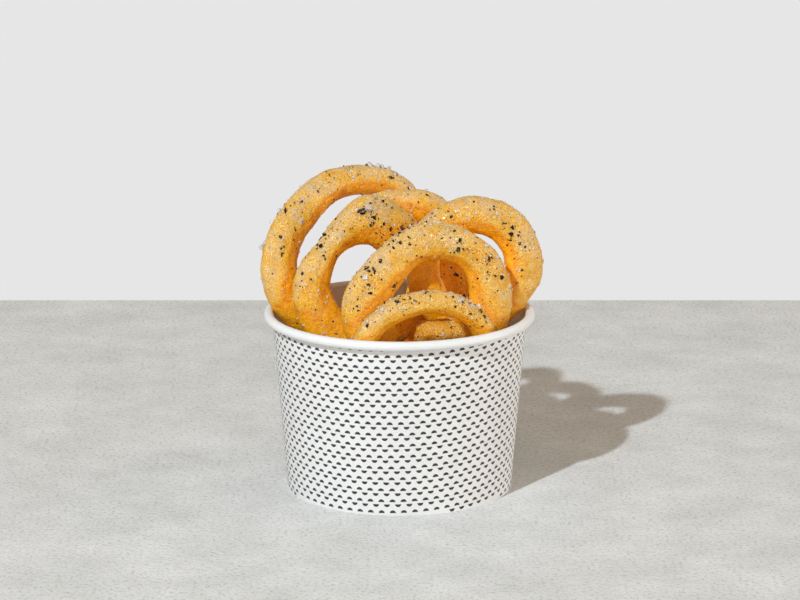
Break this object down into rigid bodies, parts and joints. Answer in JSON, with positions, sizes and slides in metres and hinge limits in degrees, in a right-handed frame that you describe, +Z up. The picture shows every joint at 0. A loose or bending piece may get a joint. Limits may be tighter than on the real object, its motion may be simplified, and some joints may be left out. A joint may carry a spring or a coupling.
{
  "type": "onion rings side",
  "caption": "Battered onion rings standing upright in a short round paper tub with a rolled rim and a recessed floor.",
  "frame": {"origin": "centre of the tub's foot, on the table", "axes": "+Z up along the tub's axis, +Y away from the front, +X to the right as seen from the front"},
  "size_m": [0.1196, 0.1167, 0.1311],
  "materials": {
    "board": "coated white board with near-black printed half dots, soft gloss",
    "batter": "golden fried batter, fine bubbly grain, slightly oily"
  },
  "bodies": {
    "root": {"tub_wall": "board", "tub_floor": "board", "ring_back_left": "batter", "ring_back_middle": "batter", "ring_left": "batter", "ring_right": "batter", "ring_front": "batter", "ring_front_low": "batter", "ring_under_right": "batter", "ring_layer_3": "batter", "ring_layer_2": "batter", "ring_layer_1": "batter", "ring_stub": "batter", "batter_crumb": "batter"}
  },
  "joints": []
}
